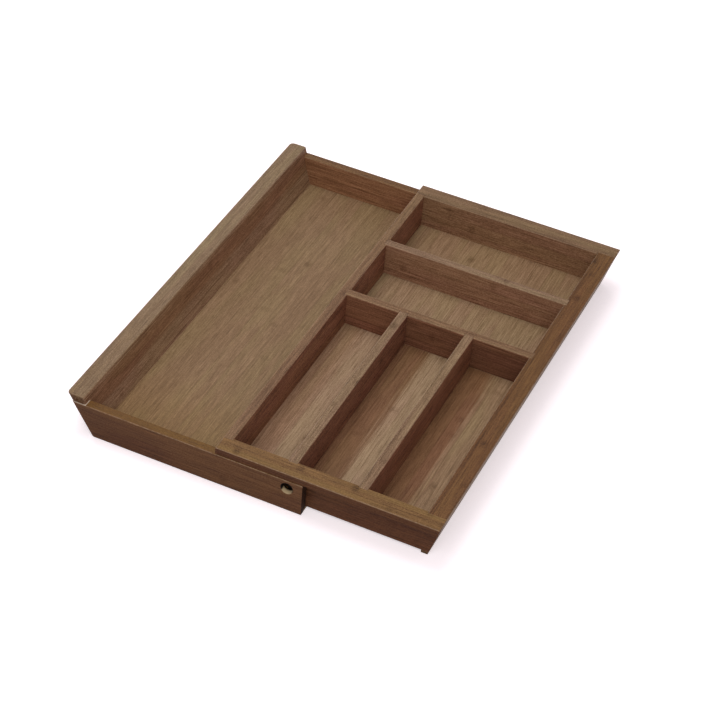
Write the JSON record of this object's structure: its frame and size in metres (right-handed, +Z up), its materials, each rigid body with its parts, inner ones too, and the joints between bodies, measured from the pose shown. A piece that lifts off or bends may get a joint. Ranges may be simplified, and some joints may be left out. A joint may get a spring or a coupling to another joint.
{
  "type": "cutlery tray",
  "caption": "Bamboo drawer tray for cutlery, with long and cross compartments, and a shallow extension that slides out sideways on rails under the lips of the main tray.",
  "frame": {"origin": "on the surface that the tray stands on, under the middle of the tray as it stands pulled out", "axes": "+X from the extension towards the main tray's sloping end board, +Y from front to back along the cutlery, +Z up"},
  "size_m": [0.4039, 0.502, 0.046],
  "materials": {
    "stained_bamboo": "walnut-brown stain under satin lacquer",
    "stained_bamboo_floor": "walnut-brown stain under satin lacquer",
    "raw_bamboo": "cut bamboo, oiled",
    "dark_stained_pin": "turned bamboo with a dark stain"
  },
  "bodies": {
    "main_tray": {"front_wall": "stained_bamboo", "back_wall": "stained_bamboo", "left_wall": "stained_bamboo", "right_end_board": "stained_bamboo", "main_floor_panel": "stained_bamboo_floor", "front_cross_divider": "stained_bamboo", "back_cross_divider": "stained_bamboo", "left_long_divider": "stained_bamboo", "right_long_divider": "stained_bamboo", "main_corner_dowels": "raw_bamboo", "stop_pin": "dark_stained_pin"},
    "extension": {"extension_end_board": "stained_bamboo", "extension_front_rail": "stained_bamboo", "extension_back_rail": "stained_bamboo", "extension_floor_panel": "stained_bamboo_floor", "extension_corner_dowels": "raw_bamboo"}
  },
  "joints": [
    {"name": "extension_slide", "type": "slide", "parent": "main_tray", "child": "extension", "axis": [1, 0, 0], "range_m": [0, 0.1225]}
  ]
}
